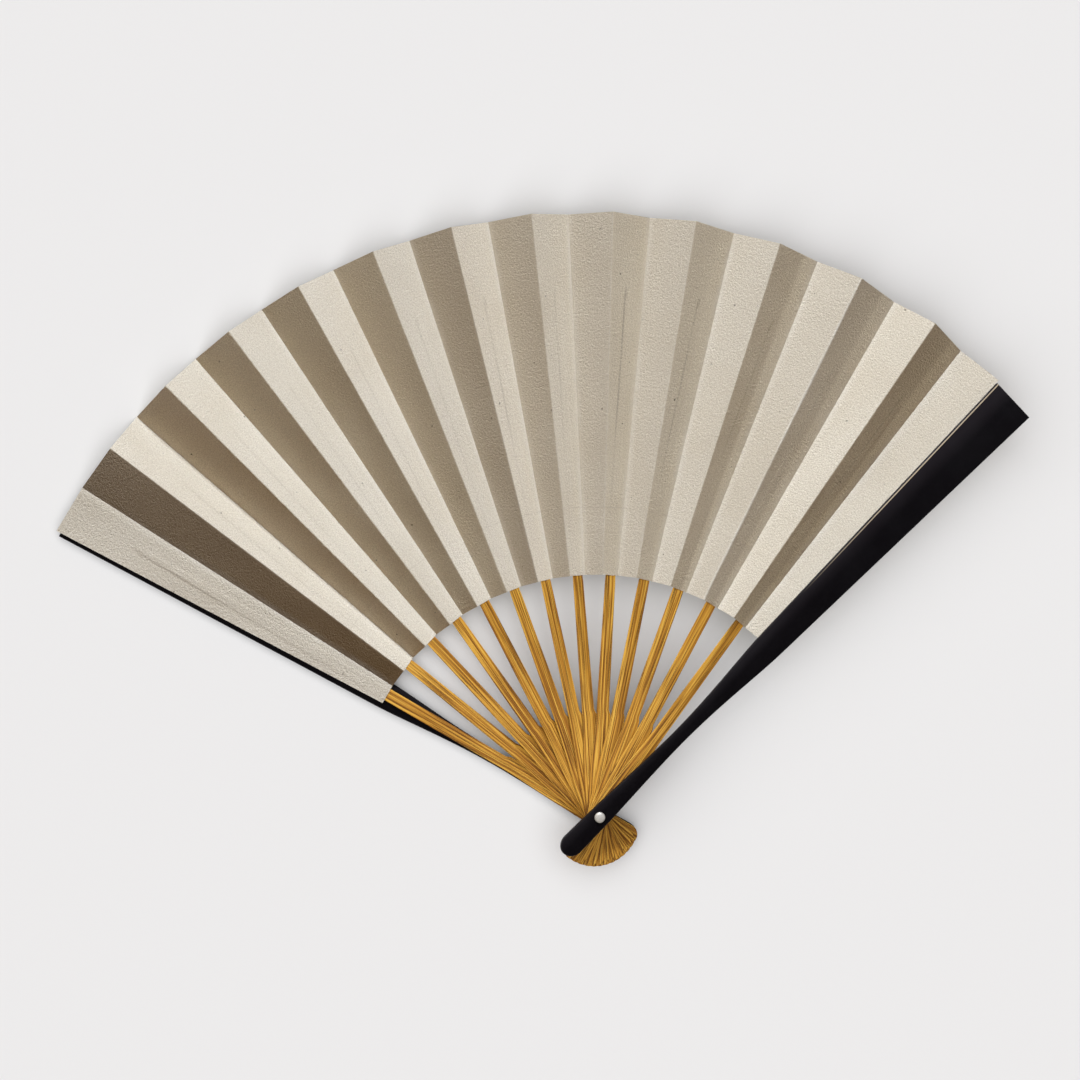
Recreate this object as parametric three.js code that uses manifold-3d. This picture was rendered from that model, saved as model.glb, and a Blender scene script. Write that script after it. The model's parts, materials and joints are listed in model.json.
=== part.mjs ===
// A folding fan: flat ribs and two guard sticks strung on one rivet, with a pleated paper leaf across them.
// Millimetres, +Z up. The origin is on the rivet's axis, at the flat foot of its back head.
// The fan lies open on its back guard, with its centre line along +Y. The ribs climb the rivet one by one.
// Each rib turns on the rivet, its pleat turns about the rib, and the next panel folds on a valley crease.

import * as THREE from "three";
import { mergeVertices } from "three/addons/utils/BufferGeometryUtils.js";
import Module from "manifold-3d";

const { degToRad } = THREE.MathUtils;

// Leaf
const leafInner = 83.5; // rivet axis to the leaf's inner edge
const leafOuter = 209; // rivet axis to the leaf's outer edge
const panelAngle = degToRad(4.65); // one panel, from crease to crease
const pleatTilt = degToRad(32); // slope of a pleat on its rib with the fan open
const slackTilt = degToRad(12); // slope lost where the leaf is pulled flattest
const slackRibCount = 10.1; // ribs from the first to that place
const slackSpreadCount = 1.6; // ribs to each side that it reaches
const paperThickness = 0.22; // two plies
const creaseGap = 0.2; // each panel stops this short of its crease lines
const pasteGap = 0.15; // between the last panel and the guard that it is pasted to

// Ribs
const ribCount = 13;
const ribThickness = 0.6;
const ribPivotWidth = 7;
const ribLeafWidth = 3.7; // where the rib enters the leaf
const ribTipWidth = 1.2;
const ribTipReach = 184; // rivet axis to the tip, inside the leaf
const ribTailRound = 3.6;
const tipThinning = 0.05; // taken off each face of the rib inside the leaf
const tipSlope = 0.5; // width of the paper's slope beside the rib
const tipInset = 0.3; // from the leaf's edge to where the covered rib starts
const ribLeafGap = 0.3; // from the bare rib's end to the leaf's edge

// Guards
const tailLength = 17.5; // rivet axis to the tail ends of ribs and guards
const guardSetback = 1.5; // guard tip short of the leaf's outer edge
const backGuardTurn = degToRad(0.35); // back guard outside the first rib, so that its edge shows
const guardThickness = 2.5;
const guardEdge = 0.45; // rounding of the guard's edges
const guardTipWidth = 16.8;
const guardShoulderWidth = 9.7;
const guardWaistWidth = 4.6;
const guardPivotWidth = 7.2;
const guardTailWidth = 7.7;
const guardTailRound = 4.6;
const shoulderPastLeaf = 2; // shoulder beyond the leaf's inner edge
const waistReach = 39; // rivet axis to the narrowest place
const shoulderHandle = 12;
const waistOuterHandle = 19;
const waistInnerHandle = 13;
const pivotHandle = 8;
const rebateLead = 1; // the leaf's rebate starts this far inside the leaf's edge

// Rivet
const shankRadius = 1;
const runningClearance = 0.1; // shank to the holes and to the heads' sockets
const headRim = 0.87; // head beyond the shank
const headHeight = 0.9;
const headFoot = 1.1; // radius of the back head's flat foot
const socketDepth = 0.5;
const stackGap = 0.2; // between neighbours on the rivet

const roundSteps = 12;
const rivetSteps = 32;
const mergeTolerance = 1e-4;

const halfPanel = panelAngle / 2;
const intervalCount = ribCount; // rib to rib, and from the last rib to the front guard
const levelPitch = ribThickness + stackGap;
const backGuardBottom = headHeight + stackGap;
const firstRibLevel = backGuardBottom + guardThickness + stackGap + ribThickness / 2;
const frontGuardBottom = ribLevel(ribCount - 1) + ribThickness / 2 + stackGap;
const frontGuardTop = frontGuardBottom + guardThickness;
const leafRebate = ribLevel(ribCount) + paperThickness / 2 + pasteGap - frontGuardBottom;
const guardReach = leafOuter - guardSetback;
const holeRadius = shankRadius + runningClearance;

const wasm = await Module();
wasm.setup();

const lacquer = new THREE.MeshStandardMaterial({ color: 0x0d0a0d, roughness: 0.28 });
const bamboo = new THREE.MeshStandardMaterial({ color: 0xb98a35, roughness: 0.55 });
const paper = new THREE.MeshStandardMaterial({ color: 0xe2ddcf, roughness: 0.92 });
const rivetMetal = new THREE.MeshStandardMaterial({ color: 0xc8c3b9, roughness: 0.35, metalness: 0.9 });

// Height of a rib's middle plane, counted up the rivet from the back guard.
function ribLevel(index) {
  return firstRibLevel + index * levelPitch;
}

// The end panels lie flat on the guards. The pleats between slope, less so where the leaf is pulled flat.
function tiltAt(index) {
  if (index === 0 || index === ribCount) {
    return 0;
  }
  const away = (index - slackRibCount) / slackSpreadCount;
  return pleatTilt - slackTilt * Math.exp(-away * away);
}

// Angle and rise of a tilted pleat's crease, seen from the rivet beside its rib.
function creaseBearing(tilt) {
  const turn = Math.atan(Math.tan(halfPanel) * Math.cos(tilt));
  const rise = Math.asin(Math.sin(halfPanel) * Math.sin(tilt));
  return { turn, rise };
}

// Angle from one rib to the next that leaves a whole flat panel between their pleats.
function ribPitch(index) {
  const valley = creaseBearing(tiltAt(index));
  const ridge = creaseBearing(tiltAt(index + 1));
  const reach = leafOuter / Math.cos(halfPanel);
  const climb = Math.atan2(reach * Math.sin(ridge.rise) + levelPitch, reach * Math.cos(ridge.rise));
  const level = Math.cos(valley.rise) * Math.cos(climb);
  const between = Math.acos((Math.cos(panelAngle) + Math.sin(valley.rise) * Math.sin(climb)) / level);
  return valley.turn + between + ridge.turn;
}

// Directions of the ribs from the back guard round to the front guard, even about +Y.
function ribDirections() {
  const pitches = Array.from({ length: intervalCount }, (_, index) => ribPitch(index));
  const open = pitches.reduce((sum, pitch) => sum + pitch, 0);
  const directions = [Math.PI / 2 + open / 2];
  for (const pitch of pitches) {
    directions.push(directions.at(-1) - pitch);
  }
  return directions;
}

function solidOf(geometry) {
  const bare = geometry.clone();
  bare.deleteAttribute("normal");
  bare.deleteAttribute("uv");
  const merged = mergeVertices(bare, mergeTolerance);
  const vertProperties = merged.attributes.position.array;
  const triVerts = new Uint32Array(merged.index.array);
  return new wasm.Manifold(new wasm.Mesh({ numProp: 3, vertProperties, triVerts }));
}

function geometryOf(solid) {
  const { vertProperties, triVerts } = solid.getMesh();
  const geometry = new THREE.BufferGeometry();
  geometry.setAttribute("position", new THREE.BufferAttribute(vertProperties, 3));
  geometry.setIndex(new THREE.BufferAttribute(triVerts, 1));
  geometry.computeVertexNormals();
  return geometry;
}

function meshNamed(name, geometry, material) {
  const mesh = new THREE.Mesh(geometry, material);
  mesh.name = name;
  return mesh;
}

function numbered(stem, number) {
  return `${stem}_${String(number).padStart(2, "0")}`;
}

// A shape extruded evenly to both sides of its own plane.
function plateGeometry(shape, thickness) {
  const plate = new THREE.ExtrudeGeometry(shape, {
    depth: thickness,
    bevelEnabled: false,
    curveSegments: roundSteps,
  });
  return plate.translate(0, 0, -thickness / 2);
}

function boltHole(radius, height) {
  return new THREE.CylinderGeometry(radius, radius, height, rivetSteps).rotateX(Math.PI / 2);
}

// Bare part of a rib, along +X from its round tail to just short of the leaf.
function ribShape() {
  const end = leafInner - ribLeafGap;
  const shape = new THREE.Shape();
  shape.moveTo(end, -ribLeafWidth / 2);
  shape.lineTo(end, ribLeafWidth / 2);
  shape.lineTo(0, ribPivotWidth / 2);
  const tailCentre = ribTailRound - tailLength;
  shape.lineTo(tailCentre, ribPivotWidth / 2);
  shape.absellipse(tailCentre, 0, ribTailRound, ribPivotWidth / 2, Math.PI / 2, 1.5 * Math.PI, false);
  shape.lineTo(0, -ribPivotWidth / 2);
  const hole = new THREE.Path();
  hole.absarc(0, 0, holeRadius, 0, 2 * Math.PI, true);
  shape.holes.push(hole);
  return shape;
}

// Outline of a guard stick: wide over the leaf, drawn in to a waist, and full again round the rivet.
function guardShape() {
  const shoulder = leafInner + shoulderPastLeaf;
  const taper = (guardTipWidth - guardShoulderWidth) / (2 * (guardReach - shoulder));
  const tailCentre = guardTailRound - tailLength;
  const swell = (guardTailWidth - guardPivotWidth) / (2 * -tailCentre);
  const shape = new THREE.Shape();
  const side = (sign, forward) => {
    const tip = [guardReach, (sign * guardTipWidth) / 2];
    const top = [shoulder, (sign * guardShoulderWidth) / 2];
    const topHandle = [shoulder - shoulderHandle, top[1] - sign * taper * shoulderHandle];
    const waist = [waistReach, (sign * guardWaistWidth) / 2];
    const waistOut = [waistReach + waistOuterHandle, waist[1]];
    const waistIn = [waistReach - waistInnerHandle, waist[1]];
    const pivot = [0, (sign * guardPivotWidth) / 2];
    const pivotOut = [pivotHandle, pivot[1] - sign * swell * pivotHandle];
    const tail = [tailCentre, (sign * guardTailWidth) / 2];
    if (forward) {
      shape.lineTo(...pivot);
      shape.bezierCurveTo(...pivotOut, ...waistIn, ...waist);
      shape.bezierCurveTo(...waistOut, ...topHandle, ...top);
      shape.lineTo(...tip);
    } else {
      shape.moveTo(...tip);
      shape.lineTo(...top);
      shape.bezierCurveTo(...topHandle, ...waistOut, ...waist);
      shape.bezierCurveTo(...waistIn, ...pivotOut, ...pivot);
      shape.lineTo(...tail);
    }
  };
  side(1, false);
  shape.absellipse(tailCentre, 0, guardTailRound, guardTailWidth / 2, Math.PI / 2, 1.5 * Math.PI, false);
  side(-1, true);
  return shape;
}

// A guard stick from z = 0 up, with softened edges and the rivet's hole.
function guardSolid() {
  const body = new THREE.ExtrudeGeometry(guardShape(), {
    depth: guardThickness - 2 * guardEdge,
    bevelThickness: guardEdge,
    bevelSize: guardEdge,
    bevelOffset: -guardEdge,
    bevelSegments: 2,
    curveSegments: roundSteps,
  });
  const hole = boltHole(holeRadius, 4 * guardThickness);
  return solidOf(body.translate(0, 0, guardEdge)).subtract(solidOf(hole));
}

// The front guard's inner face is cut back where the leaf's last panel is pasted to it.
function frontGuardSolid() {
  const start = leafInner - rebateLead;
  const length = guardReach;
  const cut = new THREE.BoxGeometry(length, 2 * guardTipWidth, 2 * leafRebate);
  return guardSolid().subtract(solidOf(cut.translate(start + length / 2, 0, 0)));
}

// One leaf panel about +X, short of its two crease lines by the crease gap.
function panelShape(outer) {
  const trim = creaseGap / Math.cos(halfPanel);
  const halfAt = (reach) => reach * Math.tan(halfPanel) - trim;
  const shape = new THREE.Shape();
  shape.moveTo(leafInner, -halfAt(leafInner));
  shape.lineTo(outer, -halfAt(outer));
  shape.lineTo(outer, halfAt(outer));
  shape.lineTo(leafInner, halfAt(leafInner));
  return shape;
}

// The thinned end of a rib between the leaf's two plies, with the paper sloping down beside it.
function coveredTip() {
  const start = leafInner + tipInset;
  const centre = ribTipReach - ribTipWidth / 2;
  const shape = new THREE.Shape();
  shape.moveTo(start, -ribLeafWidth / 2);
  shape.absarc(centre, 0, ribTipWidth / 2, -Math.PI / 2, Math.PI / 2, false);
  shape.lineTo(start, ribLeafWidth / 2);
  const thickness = ribThickness - 2 * tipThinning;
  const slopeHeight = (thickness - paperThickness) / 2;
  const tip = new THREE.ExtrudeGeometry(shape, {
    depth: paperThickness,
    bevelThickness: slopeHeight,
    bevelSize: tipSlope,
    bevelOffset: -tipSlope,
    bevelSegments: 1,
    curveSegments: roundSteps,
  });
  return tip.translate(0, 0, -paperThickness / 2);
}

function plainPanel(outer) {
  return plateGeometry(panelShape(outer), paperThickness);
}

function ribbedPanel() {
  return geometryOf(solidOf(plainPanel(leafOuter)).add(solidOf(coveredTip())));
}

// A rivet head turned from its half section, seat first. A flat foot cuts its crown off.
function headGeometry(flatFoot) {
  const rim = shankRadius + headRim;
  const crown = new THREE.EllipseCurve(flatFoot, 0, rim - flatFoot, headHeight, 0, Math.PI / 2);
  const profile = [
    new THREE.Vector2(0, socketDepth),
    new THREE.Vector2(holeRadius, socketDepth),
    new THREE.Vector2(holeRadius, 0),
    ...crown.getPoints(roundSteps),
  ];
  if (flatFoot > 0) {
    profile.push(new THREE.Vector2(0, headHeight));
  }
  return new THREE.LatheGeometry(profile, rivetSteps).rotateX(Math.PI / 2);
}

function rivet() {
  const group = new THREE.Group();
  const frontSeat = frontGuardTop + stackGap;
  const shankBottom = headHeight - socketDepth + runningClearance;
  const shankTop = frontSeat + socketDepth - runningClearance;
  const shank = meshNamed("rivet_shank", boltHole(shankRadius, shankTop - shankBottom), rivetMetal);
  shank.position.z = (shankBottom + shankTop) / 2;
  const frontHead = meshNamed("rivet_front_head", headGeometry(0), rivetMetal);
  frontHead.position.z = frontSeat;
  const backHead = meshNamed("rivet_back_head", headGeometry(headFoot), rivetMetal);
  backHead.position.z = headHeight;
  backHead.rotation.x = Math.PI;
  group.add(shank, frontHead, backHead);
  return group;
}

// A rib on the rivet, with its pleat turned about it and an empty group along the pleat's valley crease.
function ribAssembly(index, direction) {
  const swing = new THREE.Group();
  swing.position.z = ribLevel(index);
  swing.rotation.z = direction;
  swing.add(meshNamed(numbered("rib", index + 1), plateGeometry(ribShape(), ribThickness), bamboo));
  const pleat = new THREE.Group();
  pleat.rotation.x = tiltAt(index);
  pleat.add(meshNamed(numbered("leaf_panel", 2 * index + 1), ribbedPanel(), paper));
  const valley = new THREE.Group();
  valley.rotation.z = -halfPanel;
  pleat.add(valley);
  swing.add(pleat);
  return { swing, pleat, valley };
}

// The front guard with the leaf's last panel pasted under it and trimmed to its tip.
function frontGuardAssembly(direction) {
  const swing = new THREE.Group();
  swing.rotation.z = direction;
  const guard = meshNamed("front_guard", geometryOf(frontGuardSolid()), lacquer);
  guard.position.z = frontGuardBottom;
  const pleat = new THREE.Group();
  pleat.position.z = ribLevel(ribCount);
  pleat.add(meshNamed(numbered("leaf_panel", 2 * ribCount + 1), plainPanel(guardReach), paper));
  swing.add(guard, pleat);
  return { swing, pleat };
}

// The panel from a valley crease up to the next pleat, folded so that its far corner meets that pleat's.
function creasedPanel(index, valley, nextPleat) {
  const corner = new THREE.Vector3(leafOuter, leafOuter * Math.tan(halfPanel), 0);
  const target = valley.worldToLocal(nextPleat.localToWorld(corner));
  const panel = meshNamed(numbered("leaf_panel", 2 * index + 2), plainPanel(leafOuter), paper);
  panel.rotation.x = -Math.atan2(target.z, -target.y);
  panel.rotation.z = -halfPanel;
  return panel;
}

function fan() {
  const group = new THREE.Group();
  const directions = ribDirections();
  const backGuard = meshNamed("back_guard", geometryOf(guardSolid()), lacquer);
  backGuard.position.z = backGuardBottom;
  backGuard.rotation.z = directions[0] + backGuardTurn;
  const ribs = directions.slice(0, ribCount).map((direction, index) => ribAssembly(index, direction));
  const front = frontGuardAssembly(directions[ribCount]);
  group.add(backGuard, rivet(), ...ribs.map((rib) => rib.swing), front.swing);
  const pleats = [...ribs.map((rib) => rib.pleat), front.pleat];
  ribs.forEach(({ valley }, index) => valley.add(creasedPanel(index, valley, pleats[index + 1])));
  return group;
}

export default fan();
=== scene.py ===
import json
import math

import bmesh
import bpy
from mathutils import Matrix, Vector, noise


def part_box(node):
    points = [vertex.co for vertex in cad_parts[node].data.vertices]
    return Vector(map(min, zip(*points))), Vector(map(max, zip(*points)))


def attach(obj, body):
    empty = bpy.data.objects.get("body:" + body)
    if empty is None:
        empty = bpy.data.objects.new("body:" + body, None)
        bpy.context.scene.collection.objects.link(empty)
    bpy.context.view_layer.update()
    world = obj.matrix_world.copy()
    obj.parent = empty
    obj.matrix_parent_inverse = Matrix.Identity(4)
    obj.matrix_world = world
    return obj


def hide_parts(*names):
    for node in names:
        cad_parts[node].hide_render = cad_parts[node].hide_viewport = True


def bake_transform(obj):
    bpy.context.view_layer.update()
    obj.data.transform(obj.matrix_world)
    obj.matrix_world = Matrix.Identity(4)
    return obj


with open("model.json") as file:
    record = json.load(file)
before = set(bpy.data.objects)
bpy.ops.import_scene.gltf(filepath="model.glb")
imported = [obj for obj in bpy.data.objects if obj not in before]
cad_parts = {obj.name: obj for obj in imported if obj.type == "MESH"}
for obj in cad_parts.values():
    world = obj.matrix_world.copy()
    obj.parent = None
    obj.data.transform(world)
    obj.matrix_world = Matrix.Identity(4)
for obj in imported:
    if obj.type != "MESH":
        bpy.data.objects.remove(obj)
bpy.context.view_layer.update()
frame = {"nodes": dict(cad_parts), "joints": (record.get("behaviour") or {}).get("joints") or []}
joints = {joint["name"]: joint for joint in frame["joints"]}
scene = bpy.context.scene
upward = Vector((0, 0, 1))
weldDistance = 1e-6
flatLimit = math.radians(1)  # faces that meet flatter than this are joined
softLimit = math.radians(50)  # edges that turn further than this look sharp
cornerLimit = math.radians(60)  # the paper's rim and the ribs' corners
ribCount = sum(name.endswith("_twist") for name in joints) + 1  # the first rib is fixed to the back guard
panelCount = 2 * ribCount + 1
print("frame: ribs", ribCount, "leaf panels", panelCount)


# Small helpers

def smoothStep(low, high, value):
    share = min(max((value - low) / (high - low), 0), 1)
    return share * share * (3 - 2 * share)


def between(value, stops, places):
    for index in range(1, len(stops)):
        if value <= stops[index] or index == len(stops) - 1:
            share = (value - stops[index - 1]) / (stops[index] - stops[index - 1])
            return places[index - 1] + share * (places[index] - places[index - 1])


def addPiece(name, bm, material):
    mesh = bpy.data.meshes.new(name)
    bm.to_mesh(mesh)
    bm.free()
    mesh.materials.append(material)
    piece = bpy.data.objects.new(name, mesh)
    scene.collection.objects.link(piece)
    return piece


def sharpenEdges(bm, limit):
    for face in bm.faces:
        face.smooth = True
    for edge in bm.edges:
        edge.smooth = edge.calc_face_angle(math.pi) < limit


# Node helpers: a value that is a socket is linked, anything else is set

def addNode(tree, kind, inputs=(), **settings):
    made = tree.nodes.new(kind)
    for key, value in settings.items():
        setattr(made, key, value)
    for key, value in dict(inputs).items():
        if isinstance(value, bpy.types.NodeSocket):
            tree.links.new(value, made.inputs[key])
        else:
            made.inputs[key].default_value = value
    return made


def blankMaterial(name):
    material = bpy.data.materials.new(name)
    material.use_nodes = True
    tree = material.node_tree
    shader = tree.nodes["Principled BSDF"]
    return material, tree, shader


def rampOf(tree, source, stops):
    ramp = addNode(tree, "ShaderNodeValToRGB", {"Fac": source})
    elements = ramp.color_ramp.elements
    while len(elements) < len(stops):
        elements.new(0.5)
    for element, (place, colour) in zip(elements, stops):
        element.position = place
        element.color = (*colour, 1)
    return ramp.outputs["Color"]


def mathOf(tree, operation, first, second=0.0):
    return addNode(tree, "ShaderNodeMath", {0: first, 1: second}, operation=operation).outputs[0]


def rangeOf(tree, value, low, high, toLow=0.0, toHigh=1.0):
    sockets = {"Value": value, "From Min": low, "From Max": high, "To Min": toLow, "To Max": toHigh}
    return addNode(tree, "ShaderNodeMapRange", sockets).outputs["Result"]


def mixOf(tree, share, first, second, blend="MIX"):
    made = addNode(tree, "ShaderNodeMix", data_type="RGBA", blend_type=blend)
    for key, value in ((0, share), (6, first), (7, second)):
        if isinstance(value, bpy.types.NodeSocket):
            tree.links.new(value, made.inputs[key])
        else:
            made.inputs[key].default_value = value if key == 0 else (*value, 1)
    return made.outputs[2]


def noiseOf(tree, place, pattern, dimensions="3D"):
    size, detail, roughness, distortion = pattern
    sockets = {"Vector": place, "Scale": 1 / size, "Detail": detail}
    sockets.update({"Roughness": roughness, "Distortion": distortion})
    return addNode(tree, "ShaderNodeTexNoise", sockets, noise_dimensions=dimensions).outputs["Fac"]


def mapOf(tree, name):
    return addNode(tree, "ShaderNodeUVMap", uv_map=name).outputs["UV"]


def attributeOf(tree, name):
    return addNode(tree, "ShaderNodeAttribute", attribute_name=name).outputs["Fac"]


def axesOf(tree, vector):
    return addNode(tree, "ShaderNodeSeparateXYZ", {"Vector": vector}).outputs


def shownRays(tree):
    path = addNode(tree, "ShaderNodeLightPath").outputs
    shown = mathOf(tree, "MAXIMUM", path["Is Camera Ray"], path["Is Glossy Ray"])
    return mathOf(tree, "MAXIMUM", shown, path["Is Transmission Ray"])


def dressShader(tree, shader, colour, height, look):
    tree.links.new(colour, shader.inputs["Base Color"])
    sockets = {"Height": height, "Strength": look["bumpStrength"], "Distance": look["bumpDepth"]}
    bump = addNode(tree, "ShaderNodeBump", sockets)
    tree.links.new(bump.outputs["Normal"], shader.inputs["Normal"])


# Where each rib and its pleat lie, read from the joints

def readPleats():
    half = Vector(joints["rib_02_twist"]["axis"]).angle(Vector(joints["crease_02"]["axis"]))
    found = []
    for number in range(1, ribCount + 1):
        crease = joints[f"crease_{number:02d}"]
        valley = Vector(crease["axis"]).normalized()
        if number == 1:
            along = Matrix.Rotation(half, 3, "Z") @ valley
        else:
            along = Vector(joints[f"rib_{number:02d}_twist"]["axis"]).normalized()
        left = (along * math.cos(half) - valley) / math.sin(half)
        found.append({"foot": Vector(crease["pos_m"]), "along": along, "left": left.normalized()})
    opening = math.radians(joints["fan_fold"]["range_deg"][1])
    along = Matrix.Rotation(-opening, 3, "Z") @ found[0]["along"]
    foot = found[-1]["foot"] * 2 - found[-2]["foot"]
    found.append({"foot": foot, "along": along, "left": upward.cross(along)})
    for before, pleat in zip(found[:1] + found, found):
        pleat["footBefore"] = before["foot"]
    return found, half


pleats, halfPanel = readPleats()
print("pleats: half a panel is", round(math.degrees(halfPanel), 3), "degrees")


# Paper: felted fibres, painted shade and painted warm light panel by panel, painted shade beside the ribs, a
# painted highlight along the valleys, stray brown specks, pale wear along the mountain creases

paperLook = {
    "sheet": (0.85, 0.785, 0.645),
    "toned": (0.63, 0.535, 0.38),
    "fleck": (0.51, 0.43, 0.315),
    # pale wear and fibres, also used for a painted highlight along the valleys
    "paleWearAndHighlight": (0.87, 0.82, 0.71),
    # dark tone for painted shade on whole panels and beside the ribs, and for the seam's line
    "paintedShadeAndSeam": (0.24, 0.16, 0.08),
    "paintedWarmth": (1.07, 1.0, 0.82),  # painted warm light: multiplies the sheet's colour
    "speck": (0.09, 0.06, 0.03),
    "feltPattern": (0.00075, 3, 0.6, 0.6),  # each pattern: size in metres, detail, roughness, distortion
    "grainPattern": (0.00045, 2, 0.6, 0.2),
    "tonePattern": (0.04, 4, 0.55, 0.4),
    "patchPattern": (0.03, 3, 0.6, 0.0),
    "tonedShare": (0.35, 0.85, 0.0, 0.35),  # each share: the pattern from and to, then the share at each
    "fleckShare": (0.3, 0.7, 0.0, 0.65),
    "feltShare": (0.5, 0.75, 0.0, 0.3),
    "patchShare": (0.35, 0.6, 0.3, 1.0),
    "wearWidth": 0.0006,
    # a painted highlight along each valley
    "valleyHighlightWidth": 0.0022,
    "valleyHighlightShare": 0.4,
    "seamReach": 0.107,  # a join between two sheets, seen as a faint line
    "seamWidth": 0.0004,
    "seamShare": 0.2,
    "grainHeight": 0.4,  # beside the felt's
    "bumpStrength": 1.0,
    "bumpDepth": 0.00026,
    "roughness": 0.9,
    "specular": 0.12,
}
specksLook = (  # spacing and largest radius in metres, share of the cells used, strength
    {"cell": 0.021, "radius": 0.0005, "share": 0.7, "strength": 0.95},
    {"cell": 0.0085, "radius": 0.00024, "share": 0.5, "strength": 0.6},
)
speckShape = {
    "smallest": 0.35,  # of the largest radius
    "edgePattern": (2, 0.6, 0.0),  # its size is the speck's radius
    "edgeShare": (0.35, 0.65, 0.6, 1.2),
    "core": 0.55,  # of the radius, fully dark
    "faintest": 0.4,  # of the full strength
}


def specksOf(tree, place, look):
    shape = speckShape
    ragged = noiseOf(tree, place, (look["radius"], *shape["edgePattern"]), "2D")
    cells = {"Vector": place, "Scale": 1 / look["cell"]}
    speck = addNode(tree, "ShaderNodeTexVoronoi", cells, voronoi_dimensions="2D").outputs
    draw = addNode(tree, "ShaderNodeSeparateColor", {"Color": speck["Color"]}).outputs
    largest = look["radius"] / look["cell"]
    size = rangeOf(tree, draw["Green"], 0, 1, shape["smallest"] * largest, largest)
    size = mathOf(tree, "MULTIPLY", size, rangeOf(tree, ragged, *shape["edgeShare"]))
    core = mathOf(tree, "MULTIPLY", size, shape["core"])
    inside = rangeOf(tree, speck["Distance"], core, size, 1, 0)
    kept = mathOf(tree, "LESS_THAN", draw["Red"], look["share"])
    strength = rangeOf(tree, draw["Blue"], 0, 1, shape["faintest"] * look["strength"], look["strength"])
    return mathOf(tree, "MULTIPLY", mathOf(tree, "MULTIPLY", inside, kept), strength)


def makePaper():
    look = paperLook
    material, tree, shader = blankMaterial("washiPaper")
    place = mapOf(tree, "place")  # real size, flat on the panel
    creases = axesOf(tree, mapOf(tree, "crease"))  # metres from the mountain and from the valley
    felt = noiseOf(tree, place, look["feltPattern"], "2D")
    grain = noiseOf(tree, place, look["grainPattern"], "2D")
    tone = noiseOf(tree, place, look["tonePattern"], "2D")
    patch = noiseOf(tree, place, look["patchPattern"], "2D")
    colour = mixOf(tree, rangeOf(tree, tone, *look["tonedShare"]), look["sheet"], look["toned"])
    colour = mixOf(tree, rangeOf(tree, grain, *look["fleckShare"]), colour, look["fleck"])
    colour = mixOf(tree, rangeOf(tree, felt, *look["feltShare"]), colour, look["paleWearAndHighlight"])
    # painted shade: whole panels darkened, panel by panel
    colour = mixOf(tree, attributeOf(tree, "paintedShadeAndSeam"), colour, look["paintedShadeAndSeam"])
    # painted warm light and painted lightness, panel by panel
    colour = mixOf(tree, attributeOf(tree, "paintedWarmth"), colour, look["paintedWarmth"], "MULTIPLY")
    paintedLightness = {0: colour, "Scale": attributeOf(tree, "pale")}
    colour = addNode(tree, "ShaderNodeVectorMath", paintedLightness, operation="SCALE").outputs["Vector"]
    patchy = rangeOf(tree, patch, *look["patchShare"])
    wear = rangeOf(tree, creases["X"], 0, look["wearWidth"], 1, 0)
    wear = mathOf(tree, "MULTIPLY", wear, patchy)
    wear = mathOf(tree, "MULTIPLY", wear, attributeOf(tree, "wearAndSheen"))
    colour = mixOf(tree, wear, colour, look["paleWearAndHighlight"])
    # painted highlight along the valleys
    valley = rangeOf(tree, creases["Y"], 0, look["valleyHighlightWidth"], look["valleyHighlightShare"], 0)
    colour = mixOf(tree, mathOf(tree, "MULTIPLY", valley, patchy), colour, look["paleWearAndHighlight"])
    # painted shade beside the rib's ridge
    ridgeShade = mathOf(tree, "MULTIPLY", attributeOf(tree, "ridgeShade"), patchy)
    colour = mixOf(tree, ridgeShade, colour, look["paintedShadeAndSeam"])
    away = mathOf(tree, "ABSOLUTE", mathOf(tree, "SUBTRACT", axesOf(tree, place)["Y"], look["seamReach"]))
    seam = rangeOf(tree, away, 0, look["seamWidth"], look["seamShare"], 0)
    colour = mixOf(tree, mathOf(tree, "MULTIPLY", seam, patch), colour, look["paintedShadeAndSeam"])
    for speckLook in specksLook:
        colour = mixOf(tree, specksOf(tree, place, speckLook), colour, look["speck"])
    height = mathOf(tree, "ADD", felt, mathOf(tree, "MULTIPLY", grain, look["grainHeight"]))
    dressShader(tree, shader, colour, height, look)
    shader.inputs["Roughness"].default_value = look["roughness"]
    shader.inputs["Specular IOR Level"].default_value = look["specular"]
    return material


# Bamboo: dark fibres and shallow grooves run the rib's whole length, between golden bands

bambooLook = {
    "brown": (0.205, 0.080, 0.007),
    "gold": (0.36, 0.172, 0.019),
    "pale": (0.46, 0.255, 0.038),
    "bandStops": (0.36, 0.50, 0.66),  # where the bands are brown, gold and pale
    "fibre": (0.075, 0.027, 0.003),
    "bandPattern": (0.0008, 2, 0.5, 0.1),
    "fibrePattern": (0.00036, 2, 0.55, 0.1),
    "porePattern": (0.00036, 2, 0.6, 0.0),
    "stretch": 0.014,
    "fibreShare": (0.49, 0.60, 0.0, 1.0),
    "poreShare": (0.3, 0.6, 0.55, 0.95),
    "roughness": (0.3, 0.7, 0.52, 0.72),
    "bumpStrength": 0.8,
    "bumpDepth": 0.0001,
    "specular": 0.16,
}


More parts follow.
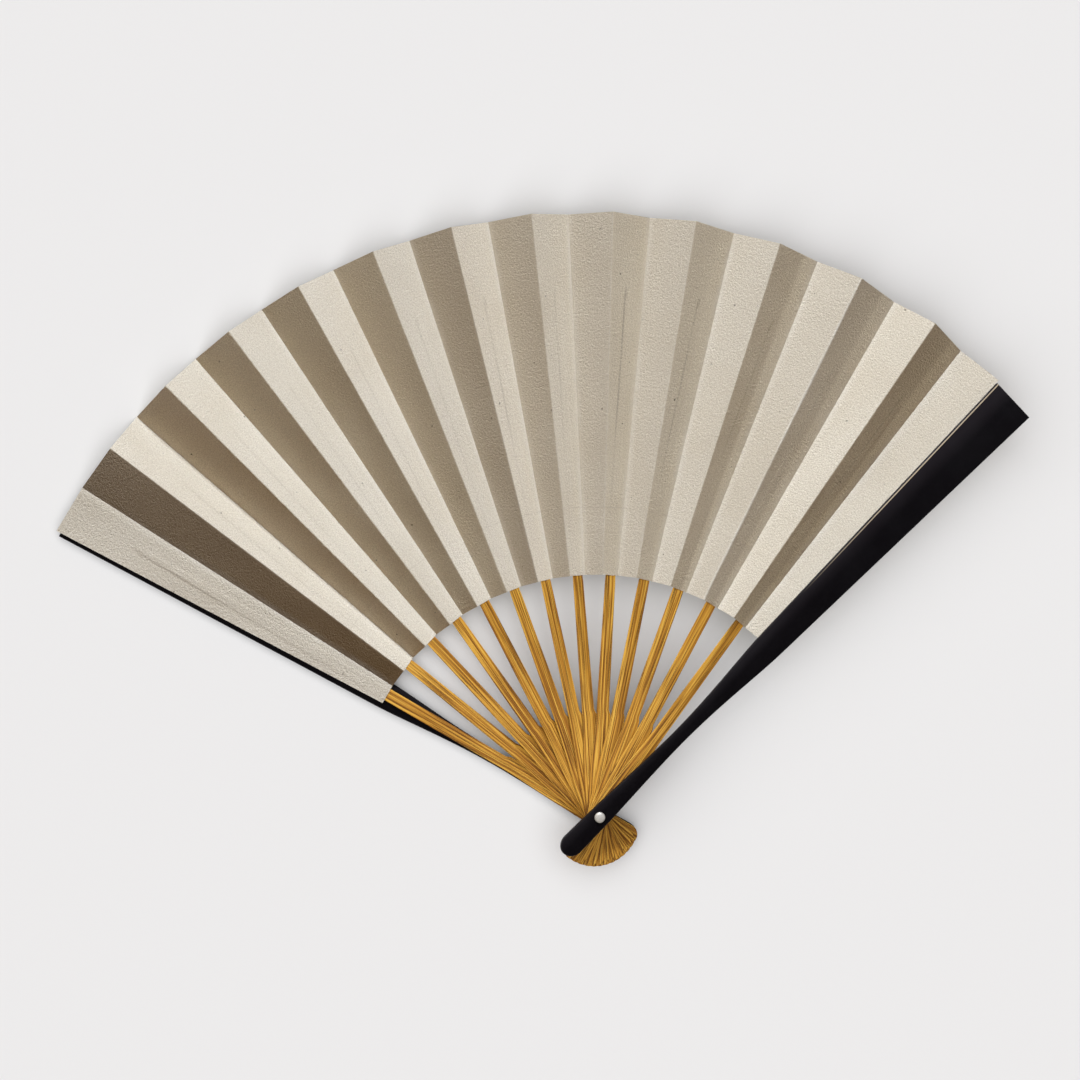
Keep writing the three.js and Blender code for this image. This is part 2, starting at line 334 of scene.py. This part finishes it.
def makeBamboo():
    look = bambooLook
    material, tree, shader = blankMaterial("oiledBamboo")
    grain = mapOf(tree, "grain")  # u across, v along, in metres
    mapping = addNode(tree, "ShaderNodeMapping", {"Vector": grain, "Scale": (1, look["stretch"], 1)})
    stretched = mapping.outputs["Vector"]
    band = noiseOf(tree, stretched, look["bandPattern"], "2D")
    fibre = noiseOf(tree, stretched, look["fibrePattern"], "2D")
    pore = noiseOf(tree, grain, look["porePattern"], "2D")
    bands = (look["brown"], look["gold"], look["pale"])
    colour = rampOf(tree, band, tuple(zip(look["bandStops"], bands)))
    broken = rangeOf(tree, pore, *look["poreShare"])
    dark = mathOf(tree, "MULTIPLY", rangeOf(tree, fibre, *look["fibreShare"]), broken)
    colour = mixOf(tree, dark, colour, look["fibre"])
    dressShader(tree, shader, colour, mathOf(tree, "SUBTRACT", band, fibre), look)
    tree.links.new(rangeOf(tree, fibre, *look["roughness"]), shader.inputs["Roughness"])
    shader.inputs["Specular IOR Level"].default_value = look["specular"]
    return material


# Lacquer: deep black, faintly warm, with the brush's slight waviness, a painted sheen along one side and a
# fine tan line by the edge

lacquerLook = {
    "black": (0.0012, 0.0008, 0.0012),
    "bloom": (0.0025, 0.0018, 0.0025),
    "wearAndSheen": (0.0060, 0.0044, 0.0056),  # a painted sheen along one side of the stick
    "sheenFrom": (0.0002, 0.0006),  # metres from the middle, at the waist and at the tip
    "sheenEdge": 0.0044,
    "bare": (0.36, 0.285, 0.19),  # a fine tan line beside that edge
    "bareFrom": (0.105, 0.15),
    "bareInset": 0.0005,
    "bareWidth": 0.00026,
    "waist": 0.039,
    "shoulder": 0.0855,
    "tip": 0.2075,
    "halfWidths": (0.00485, 0.0084),  # at the shoulder and at the tip
    "wavePattern": (0.012, 3, 0.5, 0.3),
    "dustPattern": (0.012 / 14, 4, 0.6, 0.0),  # fourteen to a wave
    "bloomShare": (0.45, 0.8, 0.0, 1.0),
    "roughness": (0.3, 0.7, 0.37, 0.5),
    "bumpStrength": 0.4,
    "bumpDepth": 0.00008,
    "specular": 0.13,
}


def makeLacquer():
    look = lacquerLook
    material, tree, shader = blankMaterial("blackLacquer")
    place = addNode(tree, "ShaderNodeTexCoord").outputs["Object"]
    stick = axesOf(tree, mapOf(tree, "stick"))  # metres aside and along
    wave = noiseOf(tree, place, look["wavePattern"])
    dust = noiseOf(tree, place, look["dustPattern"])
    colour = mixOf(tree, rangeOf(tree, dust, *look["bloomShare"]), look["black"], look["bloom"])
    # painted sheen: lighter along one side of the stick
    start = rangeOf(tree, stick["Y"], look["waist"], look["tip"], *look["sheenFrom"])
    past = mathOf(tree, "SUBTRACT", stick["X"], start)
    colour = mixOf(tree, rangeOf(tree, past, 0, look["sheenEdge"]), colour, look["wearAndSheen"])
    # a fine tan line just inside the edge
    edge = rangeOf(tree, stick["Y"], look["shoulder"], look["tip"], *look["halfWidths"])
    inset = mathOf(tree, "SUBTRACT", edge, mathOf(tree, "ADD", stick["X"], look["bareInset"]))
    bare = rangeOf(tree, mathOf(tree, "ABSOLUTE", inset), 0, look["bareWidth"], 1, 0)
    bare = mathOf(tree, "MULTIPLY", bare, rangeOf(tree, stick["Y"], *look["bareFrom"]))
    colour = mixOf(tree, bare, colour, look["bare"])
    dressShader(tree, shader, colour, wave, look)
    tree.links.new(rangeOf(tree, wave, *look["roughness"]), shader.inputs["Roughness"])
    shader.inputs["Specular IOR Level"].default_value = look["specular"]
    return material


# Rivet metal: dull white metal with fine marks, and painted shade round the rim

rivetLook = {
    "metal": (0.56, 0.53, 0.48),
    "dull": (0.40, 0.375, 0.335),
    # painted shade round the dome's rim
    "rimShade": (0.16, 0.14, 0.11),
    "rimShadeFrom": 0.0012,  # radii
    "rimShadeFull": 0.0021,
    "rimShadeShare": 0.8,
    "markPattern": (0.0005, 4, 0.6, 0.2),
    "dullShare": (0.35, 0.75, 0.0, 1.0),
    "roughness": (0.3, 0.7, 0.34, 0.54),
    "bumpStrength": 0.3,
    "bumpDepth": 0.00003,
    "metallic": 0.55,
}


def makeRivetMetal():
    look = rivetLook
    material, tree, shader = blankMaterial("dullWhiteMetal")
    place = addNode(tree, "ShaderNodeTexCoord").outputs["Object"]
    marks = noiseOf(tree, place, look["markPattern"])
    colour = mixOf(tree, rangeOf(tree, marks, *look["dullShare"]), look["metal"], look["dull"])
    level = addNode(tree, "ShaderNodeVectorMath", {0: place, 1: (1, 1, 0)}, operation="MULTIPLY")
    rim = addNode(tree, "ShaderNodeVectorMath", {0: level.outputs[0]}, operation="LENGTH").outputs["Value"]
    # painted shade towards the rim
    rimShaded = rangeOf(tree, rim, look["rimShadeFrom"], look["rimShadeFull"], 0, look["rimShadeShare"])
    dressShader(tree, shader, mixOf(tree, rimShaded, colour, look["rimShade"]), marks, look)
    tree.links.new(rangeOf(tree, marks, *look["roughness"]), shader.inputs["Roughness"])
    shader.inputs["Metallic"].default_value = look["metallic"]
    return material


paper = makePaper()
bamboo = makeBamboo()
lacquer = makeLacquer()
rivetMetal = makeRivetMetal()
print("finishes: paper, bamboo, lacquer and rivet metal")


# Leaf: one thin closed panel between each two creases, meeting its neighbours on rounded crease lines

leafSize = {
    "inner": 0.0835,
    "outer": 0.209,
    "lastOuter": 0.2075,  # the last panel is trimmed to the guard's tip
    "paper": 0.00022,
    "mountainReach": 0.00025,  # the paper is rounded this far from a mountain
    "valleyReach": 0.0024,  # and pressed steeper this far from a valley
    "valleyDepth": 0.00016,
    "creaseShare": 0.35,  # of half a panel at most
    "waveHeight": 0.0002,
    "waveSize": 0.022,
    "ridgeInner": 0.00165,
    "ridgeTip": 0.0004,
    "ridgeReach": 0.184,
    "ridgeEnd": 0.004,
    "ridgeHeight": 0.00007,
    "ridgeSlope": 0.0011,
    "slopeShare": 0.95,  # of the flat width at most
    "ridgeShare": 0.6,  # of the slope's end at most
    "sheetStep": 0.03,  # from panel to panel on the paper's pattern
    "columns": 44,
    "rows": 72,
}
zoneStops = (0, 0.24, 0.50, 0.72, 1)  # share of the columns up to ridge, slope, flat and crease
panelPaintedShade = {  # painted shade, panel by panel, at the inner and outer ends
    2: (1.0, 0.75), 3: (0.05, 0.05), 8: (0.2, 0.2), 10: (0.22, 0.22), 12: (0.38, 0.38), 14: (0.24, 0.24),
    16: (0.12, 0.12), 18: (0.08, 0.08), 19: (0.1, 0.1), 21: (0.4, 0.33), 22: (0.05, 0.05), 23: (0.3, 0.26),
    25: (0.3, 0.3),
}
panelPaintedLight = {  # painted warm light and painted lightness, panel by panel
    4: (0.25, 1.18), 6: (0.45, 1.05), 8: (0.5, 1.0), 9: (0.0, 1.07), 10: (0.45, 1.0), 11: (0.05, 1.05),
    12: (0.2, 1.0), 13: (0.1, 1.14), 14: (0.15, 1.0), 15: (0.2, 1.1), 17: (0.4, 1.03), 19: (0.45, 1.01),
    21: (0.5, 1.02), 23: (0.4, 1.03), 25: (0.85, 1.04),
}
litStrip = (0.1, 0.45, 0.7)  # where the painted shade on a ribbed panel starts and ends fading, and how far it fades: a painted lighter strip on the valley side
ribShadeLines = {1: 0.35, 13: 0.25, 17: 0.5, 19: 0.42, 21: 0.32, 25: 0.3}  # painted shade on the left of the rib's ridge
plainRibShade = 0.12
ribShadeReach = (0.1, 0.165)  # it grows towards the rib's tip
rubbedMountain = 22  # the crease after this panel is rubbed pale, the others hardly
rubbedShare = 0.9
plainShare = 0.12


def panelEdges(number):
    index = (number - 1) // 2
    if number % 2:
        return (pleats[index], 1), (pleats[index], -1)
    return (pleats[index], -1), (pleats[index + 1], 1)


def creaseAt(edge, reach):
    pleat, side = edge
    share = reach / leafSize["outer"]
    aside = side * math.tan(halfPanel) * pleat["left"]
    tip = pleat["foot"] + leafSize["outer"] * (pleat["along"] + aside)
    start = pleat["foot"] if side < 0 else pleat["footBefore"]  # a mountain follows the panel before it
    return start.lerp(tip, share)


def panelNormal(number):
    left, right = panelEdges(number)
    middle = (leafSize["inner"] + leafSize["outer"]) / 2
    outward = creaseAt(left, leafSize["outer"]) - creaseAt(left, leafSize["inner"])
    return outward.cross(creaseAt(left, middle) - creaseAt(right, middle)).normalized()


normals = {number: panelNormal(number) for number in range(1, panelCount + 1)}


def creaseTurn(number):
    size = leafSize
    if number < 1 or number >= panelCount:
        return None, 0, size["mountainReach"]
    middle = (normals[number] + normals[number + 1]).normalized()
    if number % 2:
        return middle, -size["valleyDepth"], size["valleyReach"]
    fold = normals[number].angle(normals[number + 1]) / 2
    return middle, -size["mountainReach"] * math.sin(fold) / 2, size["mountainReach"]


def placeOnPanel(number, across, length, face):
    size = leafSize
    outer = size["lastOuter"] if number == panelCount else size["outer"]
    reach = size["inner"] + (outer - size["inner"]) * (length + 1) / 2
    left, right = (creaseAt(edge, reach) for edge in panelEdges(number))
    halfWidth = (right - left).length / 2
    rightward = (right - left).normalized()
    middle, depth, fullWidth = creaseTurn(number if across > 0 else number - 1)
    width = min(fullWidth, size["creaseShare"] * halfWidth)
    taper = min((reach - size["inner"]) / (size["ridgeReach"] - size["inner"]), 1)
    ridge = size["ridgeInner"] + (size["ridgeTip"] - size["ridgeInner"]) * taper
    slopeEnd = min(ridge + size["ridgeSlope"], size["slopeShare"] * (halfWidth - width))
    ridge = min(ridge, size["ridgeShare"] * slopeEnd)
    places = (0, ridge, slopeEnd, halfWidth - width, halfWidth)
    aside = math.copysign(between(abs(across), zoneStops, places), across)
    point = (left + right) / 2 + rightward * aside
    valleySide = 1 if number % 2 else -1
    fromValley = (halfWidth - valleySide * aside) / (2 * halfWidth)
    offset = size["paper"] * (fromValley - 0.5)  # under its plane at the valley, over it at the mountain
    spot = Vector((fromValley * 2 * halfWidth, reach, size["waveSize"] / 2))
    wave = size["waveHeight"] * noise.noise(spot / size["waveSize"])  # the same on all, so they nest
    wave *= smoothStep(size["inner"], size["inner"] + size["waveSize"], reach)
    offset += valleySide * wave * 4 * fromValley * (1 - fromValley)
    normal = normals[number]
    rise = 0
    near = 1 - (halfWidth - abs(aside)) / width
    if middle and near > 0:
        point = point + middle * depth * near * near * width / fullWidth
        normal = normal.lerp(middle, near).normalized()
    half = size["paper"] / 2
    if number % 2 and number < panelCount:
        rise = 1 - smoothStep(ridge, slopeEnd, abs(aside))
        rise *= 1 - smoothStep(size["ridgeReach"] - size["ridgeEnd"], size["ridgeReach"], reach)
        half += rise * size["ridgeHeight"]
    return point + normal * (offset + half * face), aside, reach, halfWidth, rise


def panelBlank():
    size = leafSize
    bm = bmesh.new()
    bmesh.ops.create_grid(bm, x_segments=size["columns"], y_segments=size["rows"], size=1, calc_uvs=False)
    grown = bmesh.ops.extrude_face_region(bm, geom=bm.faces[:])["geom"]
    for vert in bm.verts:
        vert.co.z = -1
    for item in grown:
        if isinstance(item, bmesh.types.BMVert):
            item.co.z = 1
    bmesh.ops.recalc_face_normals(bm, faces=bm.faces[:])
    sharpenEdges(bm, cornerLimit)
    return bm


def makePanel(number):
    bm = panelBlank()
    creaseMap = bm.loops.layers.uv.new("crease")
    placeMap = bm.loops.layers.uv.new("place")
    shadeMap, warmthMap, paintedLightMap, rubbedMap, ridgeShadeMap = (
        bm.verts.layers.float.new(name) for name in ("paintedShadeAndSeam", "paintedWarmth", "pale", "wearAndSheen", "ridgeShade")
    )
    mountainSide = -1 if number % 2 else 1
    for face in bm.faces:
        for loop in face.loops:
            _, aside, reach, halfWidth, _ = placeOnPanel(number, loop.vert.co.x, loop.vert.co.y, 0)
            loop[creaseMap].uv = (halfWidth - mountainSide * aside, halfWidth + mountainSide * aside)
            loop[placeMap].uv = (number * leafSize["sheetStep"] + aside, reach)
    innerShade, outerShade = panelPaintedShade.get(number, (0, 0))
    # painted warm light and painted lightness for this panel
    paintedWarmth, pale = panelPaintedLight.get(number, (0, 1))
    wearAndSheen = rubbedShare if number in (rubbedMountain, rubbedMountain + 1) else plainShare
    for vert in bm.verts:
        # painted shade, from the inner to the outer end of the panel
        paintedShadeAndSeam = innerShade + (outerShade - innerShade) * (vert.co.y + 1) / 2
        onLeft = vert.co.x < 0
        vert.co, aside, reach, halfWidth, rise = placeOnPanel(number, *vert.co)
        # painted lighter strip on the valley side of a ribbed panel
        litShare = litStrip[2] * smoothStep(*litStrip[:2], aside / halfWidth) if number % 2 else 0
        # painted shade beside the rib's ridge, growing towards its tip
        ribShade = ribShadeLines.get(number, plainRibShade) * smoothStep(*ribShadeReach, reach)
        vert[shadeMap] = paintedShadeAndSeam * (1 - litShare)
        vert[warmthMap] = paintedWarmth
        vert[paintedLightMap] = pale
        vert[rubbedMap] = wearAndSheen
        vert[ridgeShadeMap] = 4 * rise * (1 - rise) * ribShade if onLeft else 0
    panel = addPiece(f"leafPanel_{number:02d}", bm, paper)
    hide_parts(f"leaf_panel_{number:02d}")
    return panel


def panelBody(number):
    index = (number + 1) // 2
    if number == 1:
        return "back_guard"
    if number == panelCount:
        return "front_guard"
    return f"pleat_{index:02d}" if number % 2 else f"web_{index:02d}"


leafPanels = [makePanel(number) for number in range(1, panelCount + 1)]
for panelNumber, panelPiece in enumerate(leafPanels, 1):
    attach(panelPiece, panelBody(panelNumber))
print("leaf: panels", panelCount)


# Ribs: the solid's tail, then an even blade, twisted from flat at the rivet to the slope of its pleat

ribSize = {
    "twistStart": 0.014,
    "twistEnd": 0.0832,
    "cuts": 22,
    "widths": (0.007, 0.0037),  # the solid's, at the rivet and at the leaf
    "bladeWidth": 0.0043,  # even from the shoulder to the leaf
    "shoulder": (0.0352, 0.0370),  # on the right, half under the next rib
    "shoulderCuts": 3,
    "easedEdge": 0.00013,
    "tuck": 0.00035,
    "thinned": 0.3,  # share of the thickness planed off towards the leaf
    "tuckedShare": 0.04,  # of the thickness, left where the paper covers the end
    "grainStep": (0.021, 0.37),  # across and along the bamboo's pattern, from rib to rib
}


def ribBlank(number, foot, along):
    size = ribSize
    bm = bmesh.new()
    bm.from_mesh(frame["nodes"][f"rib_{number:02d}"].data)
    bmesh.ops.remove_doubles(bm, verts=bm.verts[:], dist=weldDistance)
    bmesh.ops.dissolve_limit(bm, angle_limit=flatLimit, verts=bm.verts[:], edges=bm.edges[:])
    span = size["twistEnd"] - size["twistStart"]
    low, high = size["shoulder"]
    stops = [size["twistStart"] + span * cut / size["cuts"] for cut in range(size["cuts"])]
    stops += [low + (high - low) * cut / size["shoulderCuts"] for cut in range(size["shoulderCuts"] + 1)]
    for reach in stops:
        everything = bm.verts[:] + bm.edges[:] + bm.faces[:]
        bmesh.ops.bisect_plane(bm, geom=everything, plane_co=foot + along * reach, plane_no=along)
    sharp = [edge for edge in bm.edges if edge.calc_face_angle(0) > cornerLimit]
    bmesh.ops.bevel(bm, geom=sharp, offset=size["easedEdge"], segments=2, profile=0.5,
                    affect="EDGES", material=-1, clamp_overlap=True)
    sharpenEdges(bm, softLimit)
    return bm


def makeRib(number):
    size = ribSize
    pleat = pleats[number - 1]
    foot, along = pleat["foot"], pleat["along"]
    flatLeft = upward.cross(along)
    leafLeft, leafRight = (creaseAt((pleat, side), size["twistEnd"]) for side in (1, -1))
    tilt = math.atan2((leafLeft - leafRight).z, (leafLeft - leafRight).dot(flatLeft))
    drop = (leafLeft + leafRight) / 2 - (foot + along * size["twistEnd"])
    bm = ribBlank(number, foot, along)
    grainMap = bm.loops.layers.uv.new("grain")
    stepAcross, stepAlong = size["grainStep"]
    for face in bm.faces:
        for loop in face.loops:
            local = loop.vert.co - foot
            across = local.dot(flatLeft) + local.z
            loop[grainMap].uv = (across + number * stepAcross, local.dot(along) + number * stepAlong)
    shoulderLow, shoulderHigh = size["shoulder"]
    for vert in bm.verts:
        reach, aside = (vert.co - foot).dot(along), (vert.co - foot).dot(flatLeft)
        share = smoothStep(size["twistStart"], size["twistEnd"], reach)
        solidWidth = between(reach, (0, leafSize["inner"]), size["widths"])
        slimFrom = shoulderLow if aside < 0 and number < ribCount else size["twistStart"]
        slimmed = smoothStep(slimFrom, shoulderHigh, reach) * (size["bladeWidth"] / solidWidth - 1)
        vert.co += flatLeft * aside * slimmed
        thickness = 1 - size["thinned"] * share
        if reach > size["twistEnd"] - size["tuck"]:
            vert.co += along * size["tuck"]
            thickness = size["tuckedShare"]
        vert.co.z = foot.z + (vert.co.z - foot.z) * thickness
        vert.co = foot + drop * share + Matrix.Rotation(tilt * share, 3, along) @ (vert.co - foot)
    rib = addPiece(f"rib_{number:02d}_bamboo", bm, bamboo)
    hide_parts(f"rib_{number:02d}")
    if number == 1:
        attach(rib, "back_guard")
    else:
        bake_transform(rib)


for ribNumber in range(1, ribCount + 1):
    makeRib(ribNumber)
print("ribs:", ribCount)


# Guards: the solid's outline, smooth-shaded

def makeGuard(name, pleat, side):
    along = pleat["along"]
    aside = upward.cross(along) * side
    bm = bmesh.new()
    bm.from_mesh(frame["nodes"][name].data)
    bmesh.ops.remove_doubles(bm, verts=bm.verts[:], dist=weldDistance)
    sharpenEdges(bm, softLimit)
    stickMap = bm.loops.layers.uv.new("stick")
    for face in bm.faces:
        for loop in face.loops:
            loop[stickMap].uv = (loop.vert.co.dot(aside), loop.vert.co.dot(along))
    guard = addPiece(f"{name}_stick", bm, lacquer)
    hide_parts(name)
    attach(guard, name)


makeGuard("back_guard", pleats[0], -1)
makeGuard("front_guard", pleats[-1], 1)
print("guards: two")


# Rivet: turned domes over the ends of the shank, which keeps its own solid

rivetSize = {
    "lip": 0.00012,
    "footShare": 0.6,  # of the rim's radius, flat under the back head
    "arcSteps": 14,
    "turnSteps": 64,
}


def makeRivetHead(name, crownUp):
    size = rivetSize
    low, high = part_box(name)
    rim = (high[0] - low[0]) / 2
    seat, crown = (low[2], high[2]) if crownUp else (high[2], low[2])
    foot = 0 if crownUp else size["footShare"] * rim
    lip = math.copysign(size["lip"], crown - seat)
    bm = bmesh.new()
    profile = [(0, seat), (rim, seat)]
    for step in range(size["arcSteps"] + 1):
        turn = math.pi / 2 * step / size["arcSteps"]
        height = seat + lip + (crown - seat - lip) * math.sin(turn)
        profile.append((foot + (rim - foot) * math.cos(turn), height))
    if foot:
        profile.append((0, crown))
    verts = [bm.verts.new((radius, 0, height)) for radius, height in profile]
    edges = [bm.edges.new(pair) for pair in zip(verts, verts[1:])]
    bmesh.ops.spin(bm, geom=verts + edges, cent=(0, 0, 0), axis=(0, 0, 1), angle=2 * math.pi,
                   steps=size["turnSteps"], use_merge=True)
    bmesh.ops.remove_doubles(bm, verts=bm.verts[:], dist=weldDistance)
    bmesh.ops.recalc_face_normals(bm, faces=bm.faces[:])
    sharpenEdges(bm, softLimit)
    head = addPiece(f"{name}_dome", bm, rivetMetal)
    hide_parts(name)
    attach(head, "back_guard")


makeRivetHead("rivet_front_head", True)
makeRivetHead("rivet_back_head", False)
shank = frame["nodes"]["rivet_shank"]
shank.data.materials.clear()
shank.data.materials.append(rivetMetal)
print("rivet: two heads on the shank")


# Floor, light and camera

stageLook = {
    "floor": (0.72, 0.72, 0.72),
    "floorSize": 6.0,
    "floorRoughness": 0.95,
    "lift": 0.03,
    "liftColour": (0.55, 0.85, 1.0),
    "skyStrength": 0.08,
    "skyColour": (1.0, 0.50, 0.20),
    "wallStrength": 0.85,
    "ceilingStrength": 0.07,
    "wallTop": (0.1, 0.7),  # heights between which wall turns to ceiling
}
lampsLook = (  # two low windows that rake across the fan, and a broad overhead light for all but the leaf
    {"name": "window", "strength": 4.25, "colour": (0.93, 1.0, 1.12), "azimuth": 82, "elevation": 28,
     "spread": 8, "overhead": False},
    {"name": "sideWindow", "strength": 0.5, "colour": (1.0, 0.92, 0.75), "azimuth": 135, "elevation": 28,
     "spread": 20, "overhead": False},
    {"name": "overhead", "strength": 3.7, "colour": (0.99, 1.0, 1.015), "azimuth": 190, "elevation": 67,
     "spread": 112, "overhead": True},
)


def makeFloor():
    look = stageLook
    material, tree, shader = blankMaterial("paleFloor")
    shader.inputs["Base Color"].default_value = (*look["floor"], 1)
    shader.inputs["Roughness"].default_value = look["floorRoughness"]
    shader.inputs["Specular IOR Level"].default_value = 0.0
    shader.inputs["Emission Color"].default_value = (*look["liftColour"], 1)
    lift = mathOf(tree, "MULTIPLY", shownRays(tree), look["lift"])
    tree.links.new(lift, shader.inputs["Emission Strength"])
    bm = bmesh.new()
    bmesh.ops.create_grid(bm, x_segments=1, y_segments=1, size=look["floorSize"] / 2)
    mesh = bpy.data.meshes.new("floor")
    bm.to_mesh(mesh)
    bm.free()
    mesh.materials.append(material)
    floor = bpy.data.objects.new("floor", mesh)
    scene.collection.objects.link(floor)
    return floor


def makeRoom():
    look = stageLook
    world = bpy.data.worlds.new("softRoom")
    world.use_nodes = True
    tree = world.node_tree
    background = tree.nodes["Background"]
    view = addNode(tree, "ShaderNodeTexCoord").outputs["Generated"]
    height = axesOf(tree, view)["Z"]
    seen = rangeOf(tree, height, *look["wallTop"], look["wallStrength"], look["ceilingStrength"])
    shown = shownRays(tree)
    tree.links.new(mixOf(tree, shown, look["skyColour"], (1, 1, 1)), background.inputs["Color"])
    lit = mathOf(tree, "MULTIPLY", mathOf(tree, "SUBTRACT", 1.0, shown), look["skyStrength"])
    shownStrength = mathOf(tree, "MULTIPLY", shown, seen)
    tree.links.new(mathOf(tree, "ADD", lit, shownStrength), background.inputs["Strength"])
    scene.world = world


def makeLamp(look, floor):
    lamp = bpy.data.lights.new(look["name"], "SUN")
    lamp.energy = look["strength"]
    lamp.color = look["colour"]
    lamp.angle = math.radians(look["spread"])
    azimuth, elevation = math.radians(look["azimuth"]), math.radians(look["elevation"])
    level = math.cos(elevation)
    toward = Vector((math.cos(azimuth) * level, math.sin(azimuth) * level, math.sin(elevation)))
    placed = bpy.data.objects.new(look["name"], lamp)
    placed.rotation_euler = toward.to_track_quat("Z", "Y").to_euler()
    placed.location = toward
    placed.visible_glossy = not look["overhead"]
    scene.collection.objects.link(placed)
    lit = bpy.data.collections.new(f"{look['name']}Lights")
    for unlit in leafPanels if look["overhead"] else [floor]:
        lit.objects.link(unlit)
    for entry in lit.collection_objects:
        entry.light_linking.link_state = "EXCLUDE"
    placed.light_linking.receiver_collection = lit


cameraPlace = {
    "eye": (-0.1638, 0.1064, 0.9875),
    "aim": (-0.0080, 0.0972, 0.0100),
    "roll": 6.97,
    "focalPixels": 2864,
    "imagePixels": 1080,
    "sensor": 36,
    "clipStart": 0.01,
}


def makeCamera():
    place = cameraPlace
    lens = bpy.data.cameras.new("photoView")
    lens.sensor_width = place["sensor"]
    lens.lens = place["sensor"] * place["focalPixels"] / place["imagePixels"]
    lens.clip_start = place["clipStart"]
    eye = Vector(place["eye"])
    back = (eye - Vector(place["aim"])).normalized()
    roll = math.radians(place["roll"])
    right = Vector((math.sin(roll), math.cos(roll), 0)).cross(back).normalized()
    turn = Matrix((right, back.cross(right), back)).transposed()
    camera = bpy.data.objects.new("photoView", lens)
    camera.matrix_world = Matrix.Translation(eye) @ turn.to_4x4()
    scene.collection.objects.link(camera)
    scene.camera = camera


floor = makeFloor()
makeRoom()
for lampLook in lampsLook:
    makeLamp(lampLook, floor)
makeCamera()
scene.view_settings.view_transform = "Standard"
print("stage: floor, light and camera")
